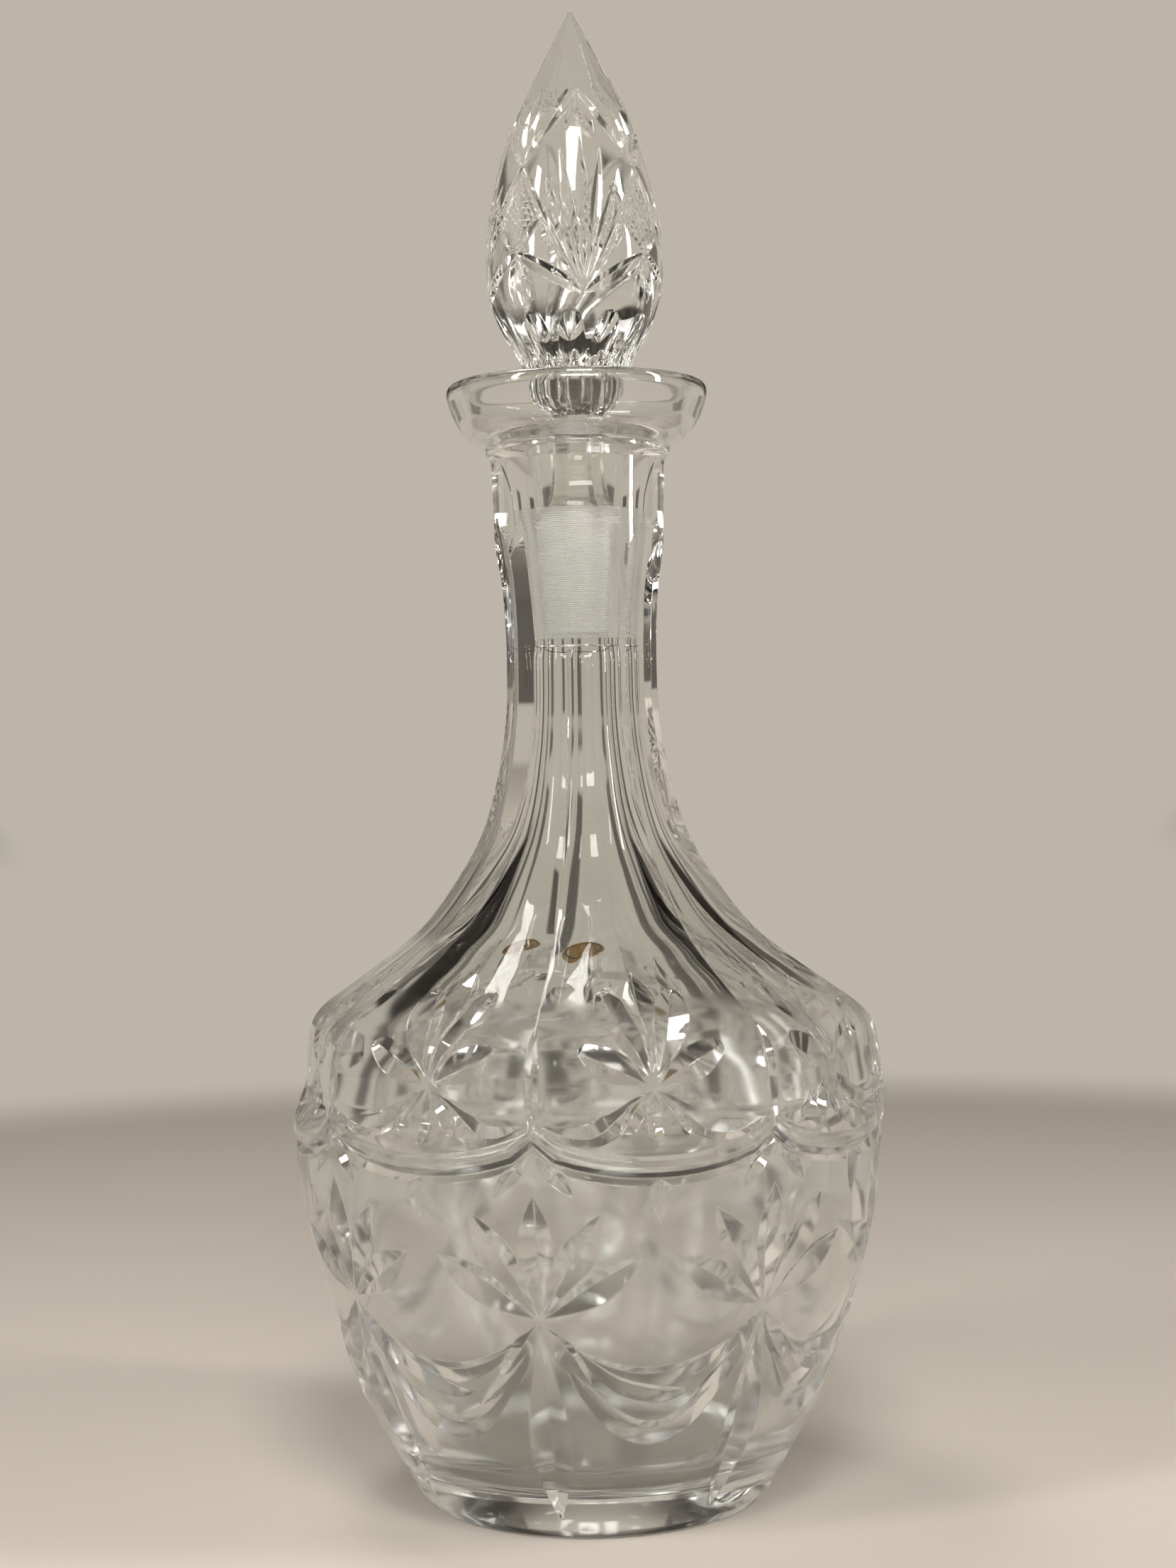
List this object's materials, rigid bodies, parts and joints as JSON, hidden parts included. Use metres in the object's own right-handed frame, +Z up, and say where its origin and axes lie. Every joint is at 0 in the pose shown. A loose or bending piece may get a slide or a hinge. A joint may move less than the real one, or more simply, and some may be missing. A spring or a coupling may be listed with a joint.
{
  "type": "crystal decanter",
  "caption": "Cut crystal decanter with a round body, flat shoulder panels, a tall panelled neck, a cupped lip and a pointed glass stopper that lifts out.",
  "frame": {"origin": "centre of the flat base, on the surface that the decanter stands on", "axes": "+Z up along the bottle's axis; the blank foil label is at the back, towards +Y"},
  "size_m": [0.1404, 0.1404, 0.35],
  "materials": {
    "crystal": "clear lead crystal, fire polished, with polished wheel cuts",
    "stopper_crystal": "clear cut lead crystal with a finely ground plug",
    "gold_foil": "dull gold foil on paper, blank"
  },
  "bodies": {
    "bottle": {"bottle": "crystal", "foil_label": "gold_foil"},
    "stopper": {"stopper": "stopper_crystal"}
  },
  "joints": [
    {"name": "stopper_lift", "type": "slide", "parent": "bottle", "child": "stopper", "axis": [0, 0, 1], "range_m": [0, 0.08]}
  ]
}
